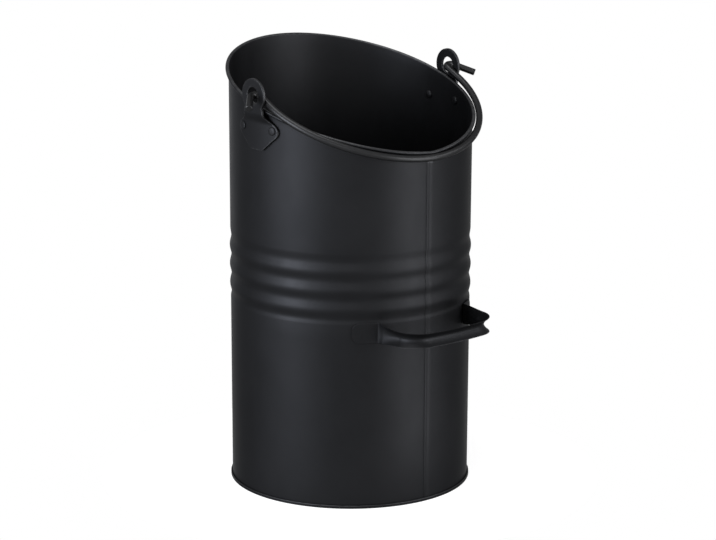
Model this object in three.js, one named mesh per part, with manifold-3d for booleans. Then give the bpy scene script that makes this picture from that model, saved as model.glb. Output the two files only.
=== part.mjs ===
// Coal scuttle: a tall round sheet-steel bucket with a sloping wired rim, a swinging bail and a rear grip.
// Millimetres, +Z up. The origin is the centre of the base's underside.
// The high pouring lip is toward -Y; the low rim, the lock seam and the rear grip are toward +Y.
// The bail turns about an axis along X.
import * as THREE from "three";
import { mergeVertices } from "three/addons/utils/BufferGeometryUtils.js";
import Module from "manifold-3d";

const wasm = await Module();
wasm.setup();

// ---- Clearances ----
const SEAT_GAP = 0.3; // between any two pieces that touch or nest
const RIVET_HOLE_GAP = 0.3; // radial, shank to hole
const BEAD_TO_EAR_GAP = 1; // rim bead to the ear's upper plate
const ARM_TO_EAR_GAP = 0.4; // bail's arm to the ear's upper plate
const BOW_TO_BEAD_GAP = 0.1; // middle of the bail's bow to the bead, as it swings past the seam

// ---- Body sheet ----
const SHEET = 0.6; // thickness of the body and the base
const RIM_RADIUS = 120; // outside of the wall under the rim
const TAPER = 1.4; // how much smaller that radius is at the base
const TAPER_HEIGHT = 400; // height over which it grows
const BASE_RADIUS = RIM_RADIUS - TAPER;
const COLUMNS = 72; // facets around the body

// ---- Rim: lowest at the seam, highest at the lip ----
const RIM_LOW = 350; // height of the bead's centre at the seam
const RIM_HIGH = 430.3; // height of the bead's centre at the lip
const RIM_RISE = 8; // extra rise of the flanks, which makes the notch at the seam
const BEAD_RADIUS = 1.85; // outside radius of the rolled edge
const CURL_END = THREE.MathUtils.degToRad(-115); // where the rolled edge stops, from outward
const CURL_STEPS = 12;
const WIRE_SIDES = 8;
const BEAD_R = RIM_RADIUS - SHEET + BEAD_RADIUS; // distance of the bead's centre from the body's axis
const BORE_RADIUS = BEAD_RADIUS - SHEET;
const WIRE_RADIUS = BORE_RADIUS - SEAT_GAP;

// Height of the bead's centre; angle is measured from the seam at +Y.
function rimHeight(angle) {
  const c = Math.cos(angle);
  const flank = (RIM_RISE * Math.abs(Math.sin(angle)) * (1 + c)) / 2;
  return RIM_LOW + ((RIM_HIGH - RIM_LOW) * (1 - c)) / 2 + flank;
}

// ---- Three pressed ribs ----
const RIB_COUNT = 3;
const RIB_LOWEST = 199.8; // height of the lowest crest
const RIB_PITCH = 19.2;
const RIB_SWING = 0.58; // half of crest to valley
const RIB_SET = -0.12; // mean offset from the plain wall
const RIB_SAMPLES = 4; // profile points per pitch

// ---- Lock seam at +Y ----
const SEAM_WIDTH = 7.5;
const SEAM_RISE = 0.8; // height over the wall
const SEAM_SHOULDER = 0.8; // width of each sloping side
const SEAM_UNDER_BEAD = 0.75; // the seam stops this far under the bead
const SEAM_STEP = 0.3; // height over which its two ends rise from the wall

// ---- Base joint: the base's edge is folded over the wall's flange ----
const FLANGE_REACH = 0.7; // flange beyond the wall
const FLANGE_Z = SHEET + SEAT_GAP;
const FOLD_INNER = BASE_RADIUS + FLANGE_REACH + SEAT_GAP;
const FOLD_OUTER = FOLD_INNER + SHEET;
const FOLD_UNDER = FLANGE_Z + SHEET + SEAT_GAP;
const FOLD_TOP = FOLD_UNDER + SHEET;
const FOLD_ROUND = 0.6; // rounding of the fold's outer corners

// ---- Ears ----
const EAR_THICK = 2.6;
const EAR_Y = 4; // ear centre, toward the low side
const EAR_RIM_Z = rimHeight(Math.acos(EAR_Y / BEAD_R)); // height of the bead's centre behind the ear
const EYE_OVER_RIM = 11.05; // the eye's centre over the bead's centre
const EYE_RING = 16.5; // outside radius of the eye
const EYE_HOLE = 8.2;
const RING_END = THREE.MathUtils.degToRad(-40); // where the eye's outline runs into the neck
const NECK_HALF = 14.2; // half widths of the outline, and how far each lies under the bead's centre
const NECK_DROP = 9;
const SHOULDER_HALF = 27.6;
const SHOULDER_TOP_DROP = 19;
const SHOULDER_BOTTOM_DROP = 26;
const SHOULDER_ROUND = 3.5;
const FOOT_HALF = 8;
const FOOT_DROP = 42.5;
const JOGGLE_HIGH_DROP = 5.5; // above this the ear is flat, outside the bead
const JOGGLE_LOW_DROP = 16; // below this it follows the wall
const EAR_GRID_Y = 12;
const EAR_GRID_Z = 18;
const EAR_ARC_SEGMENTS = 20;
const EAR_MARGIN = 1; // blank and cutter beyond the cut outline
const EYE_Z = EAR_RIM_Z + EYE_OVER_RIM;
const FOOT_Z = EAR_RIM_Z - FOOT_DROP;
const EAR_X = BEAD_R + BEAD_RADIUS + BEAD_TO_EAR_GAP; // inner face of the flat upper plate

// ---- Rivets ----
const RIVET_SPREAD = THREE.MathUtils.degToRad(9.8); // each side of the ear's centre
const RIVET_DROP = 21.5; // under the bead's centre
const RIVET_SHANK = 2.5;
const RIVET_HEAD = 4.1;
const RIVET_OUT_DOME = 2;
const RIVET_IN_DOME = 1.6;
const RIVET_SIDES = 16;
const DOME_STEPS = 4;
const HOLE_LENGTH = 24; // cutter that goes through the ear and the wall
const RIVET_Z = EAR_RIM_Z - RIVET_DROP;

// ---- Bail ----
const ROD_RADIUS = 3.3;
const PIVOT_SHIFT_Y = 0.4; // pivot from the eye's centre, toward the low side
const PIVOT_SHIFT_Z = 0.4; // and up
const BAIL_STRAIGHT = 23; // pivot to where the bow starts
const BOW_EXPONENT = 1.897; // of the bow's superellipse: 2 is an ellipse
const REST_PAST = THREE.MathUtils.degToRad(0.6); // rest, past the bow's nearest point to the bead
const ELBOW_RADIUS = 5.5;
const HOOK_BEYOND = 2.8; // hook's corner beyond the ear's outer face
const HOOK_ANGLE = THREE.MathUtils.degToRad(50); // hook's tail from the pivot axis
const HOOK_RADIUS = 5.5;
const HOOK_TAIL = 25; // from the corner to the cut end
const ROD_SIDES = 12;
const BEND_STEPS = 5;
const BOW_STEPS = 26;
const PIVOT_Y = EAR_Y + PIVOT_SHIFT_Y;
const PIVOT_Z = EYE_Z + PIVOT_SHIFT_Z;
const ARM_X = EAR_X - ARM_TO_EAR_GAP - ROD_RADIUS; // arms, inside the ears
const SEAM_REACH = Math.hypot(BEAD_R - PIVOT_Y, PIVOT_Z - RIM_LOW); // pivot to the bead at the seam
const BAIL_REACH = SEAM_REACH + BEAD_RADIUS + BOW_TO_BEAD_GAP + ROD_RADIUS;
const REST_DROP = Math.atan2(PIVOT_Z - RIM_LOW, BEAD_R - PIVOT_Y) + REST_PAST; // below horizontal

// ---- Rear grip ----
const GRIP_UNDER_RIBS = 22.2; // its middle under the lowest rib's crest
const GRIP_SHEET = 1.2;
const PAD_HALF = 10.4; // half height of a pad
const PAD_START = THREE.MathUtils.degToRad(39.8); // outer end, from +Y
const PAD_END = THREE.MathUtils.degToRad(27.6); // where the arm leaves the wall
const PAD_ROUND = 8; // corners of the pad's outer end
const LEAVE_INSET = 1.4; // end of the bend off the wall, nearer the middle than the pad's end
const LEAVE_RISE = 7; // and its distance beyond the pad's end
const BEND_INSET = 1.1; // the bend's control point, from the pad's end in the same way
const BEND_RISE = 1;
const ARM_INSET = 5.2; // arm's end at the corner, nearer the middle than the pad's end
const GRIP_STANDOFF = 34.8; // pads to the bar at its middle, inner faces
const GRIP_BAR_BOW = 1.5; // bar's ends behind its middle
const GRIP_CORNER = 20;
const BAR_HALF = 7.1; // half height of the bar's channel
const CORNER_HALF = 7.8; // half height of the channel where the corner starts
const CHANNEL_DEPTH = 6;
const CHANNEL_POWER = 1.8;
const GRIP_STEPS = 56;
const GRIP_ROWS = 8;
const GRIP_Z = RIB_LOWEST - GRIP_UNDER_RIBS;

// ---- Finish: satin black powder coat, bare wire inside the bead ----
const BLACK = { color: 0x2b2c2e, roughness: 0.48, metalness: 0.35 };
const BAIL_BLACK = { color: 0x303134, roughness: 0.42, metalness: 0.4 };
const BARE_STEEL = { color: 0x8b8d90, roughness: 0.4, metalness: 1 };

const MERGE_WITHIN = 1e-4; // vertices closer than this are one
const ROUNDING = 1e-9; // keeps a sample that falls on a point there

const group = new THREE.Group();
group.name = "coal_scuttle";

const smooth = (t) => THREE.MathUtils.smoothstep(t, 0, 1);
const wallRadius = (z) => BASE_RADIUS + ((RIM_RADIUS - BASE_RADIUS) * z) / TAPER_HEIGHT;

function add(name, geometry, finish) {
  const mesh = new THREE.Mesh(geometry, new THREE.MeshStandardMaterial(finish));
  mesh.name = name;
  group.add(mesh);
  return mesh;
}

function toSolid(geometry) {
  const bare = new THREE.BufferGeometry();
  bare.setAttribute("position", geometry.getAttribute("position"));
  bare.setIndex(geometry.getIndex());
  const merged = mergeVertices(bare, MERGE_WITHIN);
  const mesh = new wasm.Mesh({
    numProp: 3,
    vertProperties: merged.getAttribute("position").array,
    triVerts: new Uint32Array(merged.getIndex().array),
  });
  return new wasm.Manifold(mesh);
}

function toGeometry(solid) {
  const { vertProperties, triVerts } = solid.getMesh();
  const geometry = new THREE.BufferGeometry();
  geometry.setAttribute("position", new THREE.BufferAttribute(vertProperties, 3));
  geometry.setIndex(new THREE.BufferAttribute(triVerts, 1));
  geometry.computeVertexNormals();
  return geometry;
}

// Angle of a facet column from the seam. The two columns each side of the seam draw its edges.
const SEAM_FOOT = SEAM_WIDTH / 2 / RIM_RADIUS;
const SEAM_CREST = (SEAM_WIDTH / 2 - SEAM_SHOULDER) / RIM_RADIUS;
function columnAngle(column) {
  const k = column - COLUMNS / 2;
  const n = Math.abs(k);
  if (n === 0) return 0;
  if (n === 1) return Math.sign(k) * SEAM_CREST;
  const spread = ((Math.PI - SEAM_FOOT) * (n - 2)) / (COLUMNS / 2 - 2);
  return Math.sign(k) * (SEAM_FOOT + spread);
}

// Turns a closed profile of {r, z, onRim, onSeam} about Z. A point on the rim rides its height.
function revolve(profile) {
  const outline = profile.map((p) => new THREE.Vector2(p.r, p.z));
  const geometry = new THREE.LatheGeometry(outline, COLUMNS);
  const position = geometry.getAttribute("position");
  for (let i = 0; i <= COLUMNS; i += 1) {
    const angle = columnAngle(i);
    const crest = Math.abs(i - COLUMNS / 2) <= 1 ? SEAM_RISE : 0;
    profile.forEach((p, j) => {
      const r = p.r + (p.onSeam ? crest : 0);
      const z = p.z + (p.onRim ? rimHeight(angle) : 0);
      position.setXYZ(i * profile.length + j, -r * Math.sin(angle), r * Math.cos(angle), z);
    });
  }
  return geometry;
}

function ribOffset(z) {
  const low = RIB_LOWEST - RIB_PITCH / 2;
  const high = low + RIB_COUNT * RIB_PITCH;
  const wave = RIB_SET + RIB_SWING * Math.cos((2 * Math.PI * (z - RIB_LOWEST)) / RIB_PITCH);
  const fade = RIB_PITCH / RIB_SAMPLES;
  if (z < low) return (RIB_SET - RIB_SWING) * smooth(1 - (low - z) / fade);
  if (z > high) return (RIB_SET - RIB_SWING) * smooth(1 - (z - high) / fade);
  return wave;
}

// ---- Body sheet: flange, wall with ribs, rolled edge ----
function bodyProfile() {
  const step = RIB_PITCH / RIB_SAMPLES;
  const ribLevels = Array.from(
    { length: RIB_COUNT * RIB_SAMPLES + 3 },
    (_, i) => RIB_LOWEST - RIB_PITCH / 2 - step + i * step,
  );
  const wall = (z, inset, onSeam) => ({ r: wallRadius(z) + ribOffset(z) - inset, z, onSeam });
  const arc = (radius, from, to) =>
    Array.from({ length: CURL_STEPS + 1 }, (_, i) => {
      const a = from + ((to - from) * i) / CURL_STEPS;
      return { r: BEAD_R + radius * Math.cos(a), z: radius * Math.sin(a), onRim: true };
    });
  const seamFoot = FOLD_TOP + SEAT_GAP;
  const seamTop = -BEAD_RADIUS - SEAM_UNDER_BEAD;
  const points = [
    { r: BASE_RADIUS - SHEET, z: FLANGE_Z },
    { r: BASE_RADIUS + FLANGE_REACH, z: FLANGE_Z },
    { r: BASE_RADIUS + FLANGE_REACH, z: FLANGE_Z + SHEET },
    { r: BASE_RADIUS, z: FLANGE_Z + SHEET },
    { r: BASE_RADIUS, z: seamFoot },
    { r: BASE_RADIUS, z: seamFoot + SEAM_STEP, onSeam: true },
    ...ribLevels.map((z) => wall(z, 0, true)),
    { r: RIM_RADIUS, z: seamTop, onRim: true, onSeam: true },
    { r: RIM_RADIUS, z: seamTop + SEAM_STEP, onRim: true },
    { r: RIM_RADIUS, z: 0, onRim: true },
    ...arc(BORE_RADIUS, Math.PI, CURL_END).slice(1),
    ...arc(BEAD_RADIUS, CURL_END, Math.PI),
    ...[...ribLevels].reverse().map((z) => wall(z, SHEET, false)),
  ];
  return [...points, points[0]];
}

// ---- Base: a flat disc with its edge folded up and over the flange ----
function baseProfile() {
  const round = FOLD_ROUND;
  const chamfer = round * (1 - Math.SQRT1_2);
  return [
    { r: 0, z: 0 },
    { r: FOLD_OUTER - round, z: 0 },
    { r: FOLD_OUTER - chamfer, z: chamfer },
    { r: FOLD_OUTER, z: round },
    { r: FOLD_OUTER, z: FOLD_TOP - round },
    { r: FOLD_OUTER - chamfer, z: FOLD_TOP - chamfer },
    { r: FOLD_OUTER - round, z: FOLD_TOP },
    { r: BASE_RADIUS + SEAT_GAP, z: FOLD_TOP },
    { r: BASE_RADIUS + SEAT_GAP, z: FOLD_UNDER },
    { r: FOLD_INNER, z: FOLD_UNDER },
    { r: FOLD_INNER, z: SHEET },
    { r: 0, z: SHEET },
  ];
}

function wireProfile() {
  return Array.from({ length: WIRE_SIDES + 1 }, (_, i) => {
    const a = (2 * Math.PI * (i % WIRE_SIDES)) / WIRE_SIDES;
    return { r: BEAD_R + WIRE_RADIUS * Math.cos(a), z: WIRE_RADIUS * Math.sin(a), onRim: true };
  });
}

// ---- Ears ----
const EAR_WRAP = wallRadius(RIVET_Z) + SEAT_GAP; // inner face where the ear follows the wall

// Distance of the ear from the plane x = 0, for a point t out of its inner face.
function earReach(y, z, t) {
  const wrapped = Math.sqrt((EAR_WRAP + t) ** 2 - y * y);
  const above = z - (EAR_RIM_Z - JOGGLE_LOW_DROP);
  const joggled = smooth(above / (JOGGLE_LOW_DROP - JOGGLE_HIGH_DROP));
  return THREE.MathUtils.lerp(wrapped, EAR_X + t, joggled);
}

function earOutline(centre) {
  const shape = new THREE.Shape();
  const corner = (x0, y0, x1, y1, x2, y2) => {
    const a = new THREE.Vector2(x0 - x1, y0 - y1).setLength(SHOULDER_ROUND);
    const b = new THREE.Vector2(x2 - x1, y2 - y1).setLength(SHOULDER_ROUND);
    shape.lineTo(x1 + a.x, y1 + a.y);
    shape.quadraticCurveTo(x1, y1, x1 + b.x, y1 + b.y);
  };
  const right = centre + SHOULDER_HALF;
  const left = centre - SHOULDER_HALF;
  const neck = EAR_RIM_Z - NECK_DROP;
  const top = EAR_RIM_Z - SHOULDER_TOP_DROP;
  const bottom = EAR_RIM_Z - SHOULDER_BOTTOM_DROP;
  shape.absarc(centre, EYE_Z, EYE_RING, RING_END, Math.PI - RING_END, false);
  shape.lineTo(centre - NECK_HALF, neck);
  corner(centre - NECK_HALF, neck, left, top, left, bottom);
  corner(left, top, left, bottom, centre - FOOT_HALF, FOOT_Z);
  shape.lineTo(centre - FOOT_HALF, FOOT_Z);
  shape.lineTo(centre + FOOT_HALF, FOOT_Z);
  corner(centre + FOOT_HALF, FOOT_Z, right, bottom, right, top);
  corner(right, bottom, right, top, centre + NECK_HALF, neck);
  shape.lineTo(centre + NECK_HALF, neck);
  shape.closePath();
  const eye = new THREE.Path();
  eye.absarc(centre, EYE_Z, EYE_HOLE, 0, 2 * Math.PI, true);
  shape.holes.push(eye);
  return shape;
}

function rivetPlaces() {
  const centre = Math.asin(EAR_Y / RIM_RADIUS);
  return [-RIVET_SPREAD, RIVET_SPREAD].map((side) => centre + side);
}

// A point at the given radius and height, turned from +X by the angle; flip puts it on the -X side.
function aroundFromX(radius, angle, z, flip) {
  const x = radius * Math.cos(angle);
  return new THREE.Vector3(flip ? -x : x, radius * Math.sin(angle), z);
}

function radialCylinder(radius, angle, z, flip) {
  const cylinder = new THREE.CylinderGeometry(radius, radius, HOLE_LENGTH, RIVET_SIDES);
  const at = aroundFromX(RIM_RADIUS, angle, z, flip);
  const outward = new THREE.Vector3(at.x, at.y, 0).normalize();
  cylinder.applyQuaternion(
    new THREE.Quaternion().setFromUnitVectors(new THREE.Vector3(0, 1, 0), outward),
  );
  return cylinder.translate(at.x, at.y, at.z);
}

const rivetHoles = (flip) =>
  rivetPlaces().map((angle) =>
    toSolid(radialCylinder(RIVET_SHANK + RIVET_HOLE_GAP, angle, RIVET_Z, flip)),
  );

function earGeometry(flip) {
  const height = EYE_Z + EYE_RING + EAR_MARGIN - (FOOT_Z - EAR_MARGIN);
  const width = 2 * (SHOULDER_HALF + EAR_MARGIN);
  const blank = new THREE.BoxGeometry(EAR_THICK, width, height, 1, EAR_GRID_Y, EAR_GRID_Z);
  const position = blank.getAttribute("position");
  for (let i = 0; i < position.count; i += 1) {
    const y = position.getY(i) + EAR_Y;
    const z = position.getZ(i) + FOOT_Z - EAR_MARGIN + height / 2;
    const reach = earReach(y, z, position.getX(i) + EAR_THICK / 2);
    position.setXYZ(i, reach, y, z);
  }
  const prism = new THREE.ExtrudeGeometry(earOutline(EAR_Y), {
    depth: EAR_X + EAR_THICK + EAR_MARGIN,
    bevelEnabled: false,
    curveSegments: EAR_ARC_SEGMENTS,
  });
  // The outline is drawn in X-Y: turn it so that it lies in Y-Z and runs along X.
  prism.applyMatrix4(new THREE.Matrix4().set(0, 0, 1, 0, 1, 0, 0, 0, 0, 1, 0, 0, 0, 0, 0, 1));
  const cut = rivetHoles(false).reduce(
    (solid, hole) => solid.subtract(hole),
    toSolid(blank).intersect(toSolid(prism)),
  );
  const geometry = toGeometry(cut);
  return flip ? mirrored(geometry) : geometry;
}

// Mirror in the plane x = 0, with the faces turned back outwards.
function mirrored(geometry) {
  const position = geometry.getAttribute("position");
  const index = geometry.getIndex();
  for (let i = 0; i < position.count; i += 1) position.setX(i, -position.getX(i));
  for (let i = 0; i < index.count; i += 3) {
    const b = index.getX(i + 1);
    index.setX(i + 1, index.getX(i + 2));
    index.setX(i + 2, b);
  }
  geometry.computeVertexNormals();
  return geometry;
}

// ---- Rivets: a domed head outside, the shank, and a lower dome inside ----
function rivetGeometry(angle, flip) {
  const outerSeat = EAR_WRAP + EAR_THICK + SEAT_GAP;
  const innerSeat = wallRadius(RIVET_Z) - SHEET - SEAT_GAP;
  const dome = (seat, rise) =>
    Array.from({ length: DOME_STEPS + 1 }, (_, i) => {
      const a = (Math.PI / 2) * (i / DOME_STEPS);
      return new THREE.Vector2(RIVET_HEAD * Math.cos(a), seat + rise * Math.sin(a));
    });
  const outline = [
    ...dome(innerSeat, -RIVET_IN_DOME).reverse(),
    new THREE.Vector2(RIVET_SHANK, innerSeat),
    new THREE.Vector2(RIVET_SHANK, outerSeat),
    ...dome(outerSeat, RIVET_OUT_DOME),
  ];
  outline[0].x = 0;
  outline[outline.length - 1].x = 0;
  const geometry = new THREE.LatheGeometry(outline, RIVET_SIDES);
  const outward = aroundFromX(1, angle, 0, flip);
  geometry.applyQuaternion(
    new THREE.Quaternion().setFromUnitVectors(new THREE.Vector3(0, 1, 0), outward),
  );
  return geometry.translate(0, 0, RIVET_Z);
}

// ---- Bail: one rod whose centre line lies in a plane through the pivot axis ----
// Half of the centre line as [x, along] pairs, from the hook's cut end to the middle of the bow.
function halfBail() {
  const quarter = Math.PI / 2;
  const arc = (cx, cy, radius, from, to) =>
    Array.from({ length: BEND_STEPS + 1 }, (_, i) => {
      const a = from + ((to - from) * i) / BEND_STEPS;
      return [cx + radius * Math.cos(a), cy + radius * Math.sin(a)];
    });
  const cornerX = EAR_X + EAR_THICK + HOOK_BEYOND;
  const setback = HOOK_RADIUS * Math.tan(HOOK_ANGLE / 2);
  const cutEnd = [cornerX + HOOK_TAIL * Math.cos(HOOK_ANGLE), HOOK_TAIL * Math.sin(HOOK_ANGLE)];
  const bow = Array.from({ length: BOW_STEPS }, (_, i) => {
    const a = (quarter * i) / BOW_STEPS;
    const out = ARM_X * Math.cos(a) ** (2 / BOW_EXPONENT);
    const depth = (BAIL_REACH - BAIL_STRAIGHT) * Math.sin(a) ** (2 / BOW_EXPONENT);
    return [out, BAIL_STRAIGHT + depth];
  });
  return [
    cutEnd,
    ...arc(cornerX - setback, HOOK_RADIUS, HOOK_RADIUS, HOOK_ANGLE - quarter, -quarter),
    ...arc(ARM_X + ELBOW_RADIUS, ELBOW_RADIUS, ELBOW_RADIUS, -quarter, -2 * quarter),
    ...bow,
    [0, BAIL_REACH],
  ];
}

// A path whose samples are the given points, however unevenly they are spaced.
class PointPath extends THREE.Curve {
  constructor(points) {
    super();
    this.points = points;
  }
  getPoint(t, target = new THREE.Vector3()) {
    const last = this.points.length - 1;
    const i = Math.min(Math.floor(t * last + ROUNDING), last - 1);
    return target.lerpVectors(this.points[i], this.points[i + 1], t * last - i);
  }
  getPointAt(t, target) {
    return this.getPoint(t, target);
  }
  getTangentAt(t, target = new THREE.Vector3()) {
    const last = this.points.length - 1;
    const i = Math.round(t * last);
    const before = this.points[Math.max(i - 1, 0)];
    const after = this.points[Math.min(i + 1, last)];
    return target.subVectors(after, before).normalize();
  }
}

function bailGeometry() {
  const half = halfBail();
  const flat = [...half, ...half.slice(0, -1).reverse().map(([x, along]) => [-x, along])];
  const points = flat.map(
    ([x, along]) =>
      new THREE.Vector3(
        x,
        PIVOT_Y + along * Math.cos(REST_DROP),
        PIVOT_Z - along * Math.sin(REST_DROP),
      ),
  );
  const section = new THREE.Shape();
  for (let i = 0; i <= ROD_SIDES; i += 1) {
    const a = (2 * Math.PI * i) / ROD_SIDES;
    const at = [ROD_RADIUS * Math.cos(a), ROD_RADIUS * Math.sin(a)];
    if (i === 0) section.moveTo(...at);
    else section.lineTo(...at);
  }
  return new THREE.ExtrudeGeometry(section, {
    steps: points.length - 1,
    extrudePath: new PointPath(points),
    bevelEnabled: false,
  });
}

// ---- Rear grip: a strip with pads on the wall and a channelled bar between them ----
// Plan of the strip's inner face, from the +X pad's end to the middle, as points with headings.
function gripPlan() {
  const padRadius = wallRadius(GRIP_Z) + SEAT_GAP;
  const quarter = Math.PI / 2;
  const path = new THREE.CurvePath();
  const pad = new THREE.EllipseCurve(
    0, 0, padRadius, padRadius, quarter - PAD_START, quarter - PAD_END, false,
  );
  const padEnd = pad.getPoint(1);
  const middle = new THREE.Vector2(0, padRadius + GRIP_STANDOFF);
  const cornerX = padEnd.x - ARM_INSET - GRIP_CORNER;
  const cornerY = middle.y - GRIP_BAR_BOW - GRIP_CORNER;
  const bendAt = new THREE.Vector2(padEnd.x - BEND_INSET, padEnd.y + BEND_RISE);
  const leave = new THREE.Vector2(padEnd.x - LEAVE_INSET, padEnd.y + LEAVE_RISE);
  const armTop = new THREE.Vector2(cornerX + GRIP_CORNER, cornerY);
  const corner = new THREE.EllipseCurve(
    cornerX, cornerY, GRIP_CORNER, GRIP_CORNER, 0, quarter, false,
  );
  const barEnd = corner.getPoint(1);
  path.add(pad);
  path.add(new THREE.QuadraticBezierCurve(padEnd, bendAt, leave));
  path.add(new THREE.LineCurve(leave, armTop));
  path.add(corner);
  path.add(
    new THREE.QuadraticBezierCurve(barEnd, new THREE.Vector2(barEnd.x / 2, middle.y), middle),
  );
  return path;
}

function gripGeometry() {
  const plan = gripPlan();
  const halfLength = plan.getLength();
  const lengths = plan.getCurveLengths();
  const padLength = lengths[0];
  const armEnd = lengths[2];
  const cornerEnd = lengths[3];
  // The box's X runs along the strip, its Y across it and its Z through the sheet.
  const strip = new THREE.BoxGeometry(2, 2, 1, GRIP_STEPS, GRIP_ROWS, 1);
  const position = strip.getAttribute("position");
  for (let i = 0; i < position.count; i += 1) {
    const side = Math.sign(position.getX(i)) || 1;
    const s = (1 - Math.abs(position.getX(i))) * halfLength;
    const u = Math.min(Math.max(s / halfLength, 0), 1);
    const at = plan.getPointAt(u);
    const heading = plan.getTangentAt(u);
    const formed = smooth((s - padLength) / (armEnd - padLength));
    const closed = smooth((s - armEnd) / (cornerEnd - armEnd));
    const arm = THREE.MathUtils.lerp(PAD_HALF, CORNER_HALF, formed);
    const fromEnd = Math.max(PAD_ROUND - s, 0);
    const rounded = PAD_ROUND - Math.sqrt(PAD_ROUND ** 2 - fromEnd ** 2);
    const half = THREE.MathUtils.lerp(arm, BAR_HALF, closed) - rounded;
    const across = position.getY(i);
    const flare = CHANNEL_DEPTH * formed * Math.abs(across) ** CHANNEL_POWER;
    const out = flare + (position.getZ(i) + 0.5) * GRIP_SHEET;
    // The strip's outward side is to the right of the heading.
    const x = at.x + heading.y * out;
    const y = at.y - heading.x * out;
    position.setXYZ(i, side * x, y, GRIP_Z - across * half);
  }
  return strip;
}

// ---- Assembly ----
const shell = [...rivetHoles(false), ...rivetHoles(true)].reduce(
  (solid, hole) => solid.subtract(hole),
  toSolid(revolve(bodyProfile())),
);
add("body_shell", toGeometry(shell), BLACK);
add("rim_wire", revolve(wireProfile()), BARE_STEEL);
add("base_pan", revolve(baseProfile()), BLACK);
add("ear_left", earGeometry(false), BLACK);
add("ear_right", earGeometry(true), BLACK);
for (const [side, flip] of [["left", false], ["right", true]]) {
  rivetPlaces().forEach((angle, i) => {
    const end = i === 0 ? "front" : "rear";
    add(`rivet_${side}_${end}`, rivetGeometry(angle, flip), BLACK);
  });
}
add("bail", bailGeometry(), BAIL_BLACK);
add("rear_grip", gripGeometry(), BLACK);

export default group;
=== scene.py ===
"""A tall coal scuttle in satin black stove coat, dressed over its frame, in a plain pale studio.

Metres, +Z up. -Y is the high pouring lip; +Y is the low rim, the lock seam and the rear grip.
"""

import math

import bmesh
import bpy
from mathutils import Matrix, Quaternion, Vector
from mathutils.geometry import delaunay_2d_cdt


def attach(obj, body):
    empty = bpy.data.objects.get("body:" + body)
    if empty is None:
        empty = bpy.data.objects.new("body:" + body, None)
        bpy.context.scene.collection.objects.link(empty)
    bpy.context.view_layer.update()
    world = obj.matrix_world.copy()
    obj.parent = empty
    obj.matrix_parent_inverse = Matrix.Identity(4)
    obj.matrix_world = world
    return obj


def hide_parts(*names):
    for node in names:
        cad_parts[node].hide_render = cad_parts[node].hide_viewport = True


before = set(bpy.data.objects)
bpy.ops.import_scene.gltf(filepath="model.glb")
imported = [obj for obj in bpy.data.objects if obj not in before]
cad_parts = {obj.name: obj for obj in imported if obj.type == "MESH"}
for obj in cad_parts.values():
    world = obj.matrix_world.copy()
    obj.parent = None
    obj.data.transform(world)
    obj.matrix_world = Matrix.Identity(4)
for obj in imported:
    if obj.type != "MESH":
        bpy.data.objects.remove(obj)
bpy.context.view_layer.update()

QUARTER = math.pi / 2
MERGE = 1e-7  # points closer than this are one
SHARP = math.radians(40)
CUT_SHARP = math.radians(50)  # for pieces with rounded cut edges

# ---- Body sheet ----
SEAT_GAP = 0.0003  # between pieces that touch
SHEET = 0.0006
RIM_RADIUS = 0.120
TAPER = 0.0014  # how much slimmer the foot is
TAPER_HEIGHT = 0.400
BASE_RADIUS = RIM_RADIUS - TAPER
COLUMNS = 320
ROWS_UNDER_RIBS = 12
ROWS_OVER_RIBS = 16
ROUNDNESS = 0.9998  # keeps the smooth outline within the faceted one

# ---- Rim ----
RIM_LOW = 0.350
RIM_HIGH = 0.43027
RIM_RISE = 0.008  # how far the flanks bulge over an even slope
BEAD_RADIUS = 0.00185
BEAD_R = RIM_RADIUS - SHEET + BEAD_RADIUS
BORE_RADIUS = BEAD_RADIUS - SHEET
CURL_END = math.radians(-115)
CURL_NOSE = SHEET * 0.2  # swell of the curl's cut edge
CURL_STEPS = 30

# ---- Ribs ----
RIB_COUNT = 3
RIB_LOWEST = 0.1998
RIB_PITCH = 0.0192
RIB_SWING = 0.0008  # half the way from valley to crest
RIB_SET = -0.00012  # middle of the swing, out of the plain wall
RIB_FADE_LOW = 0.0048  # length in which the lowest valley runs out
RIB_FADE_HIGH = 0.009
RIB_ROWS = 16  # rows in one pitch

# ---- Lock seam: a folded band, with its step toward +X and a groove along the fold ----
SEAM_HALF = 0.00375
SEAM_RISE = 0.0008
SEAM_CREASE = 0.0007
# (s along the wall from the seam's middle, height), from its +X side
SEAM_SECTION = (
    (SEAM_HALF + SEAM_CREASE, 0),
    (SEAM_HALF + 0.0001, -0.00008),
    (SEAM_HALF - 0.0001, 0.0003),
    (0.0022, 0.0006),
    (0.0007, 0.0005),
    (-0.0016, SEAM_RISE),
    (0.0001 - SEAM_HALF, SEAM_RISE),
    (-0.0001 - SEAM_HALF, 0),
)
SEAM_SHIFT = 0.0022  # the fold lies a little to the +X side
SEAM_UNDER_BEAD = 0.0044
SEAM_FOOT = 0.0004  # length of its rounded lower end
SEAM_FOOT_ROWS = (0, 0.1, 0.4)
SEAM_CROWN = 0.004  # length of its sloping upper end
SEAM_CROWN_ROWS = (0.2, 0.4, 0.6, 0.75, 0.88, 0.97, 1)
SEAM_CROWN_POWER = 1.7
SEAM_COLUMNS = 80
# Lighter coat on the seam's proud band: partly rubbed wear, partly painted sheen
SEAM_SHEEN_AND_WEAR = 0.04
# Painted highlight on the seam's sloping upper end, where the light from above falls
CROWN_PAINTED_HIGHLIGHT = 0.45

# ---- Base joint ----
FLANGE_REACH = 0.0007
FLANGE_Z = SHEET + SEAT_GAP
FOLD_INNER = BASE_RADIUS + FLANGE_REACH + SEAT_GAP
FOLD_OUTER = FOLD_INNER + SHEET
FOLD_UNDER = FLANGE_Z + 2 * SHEET + SEAT_GAP
FOLD_TOP = FOLD_UNDER + SHEET
FOLD_ROUND = 0.0006
FOLD_FOOT_ROUND = 0.0002
FOLD_STEPS = 6
FOLD_PAINTED_HIGHLIGHT = 0.8  # painted highlight: lighter coat along the middle of the upper rounding
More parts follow.
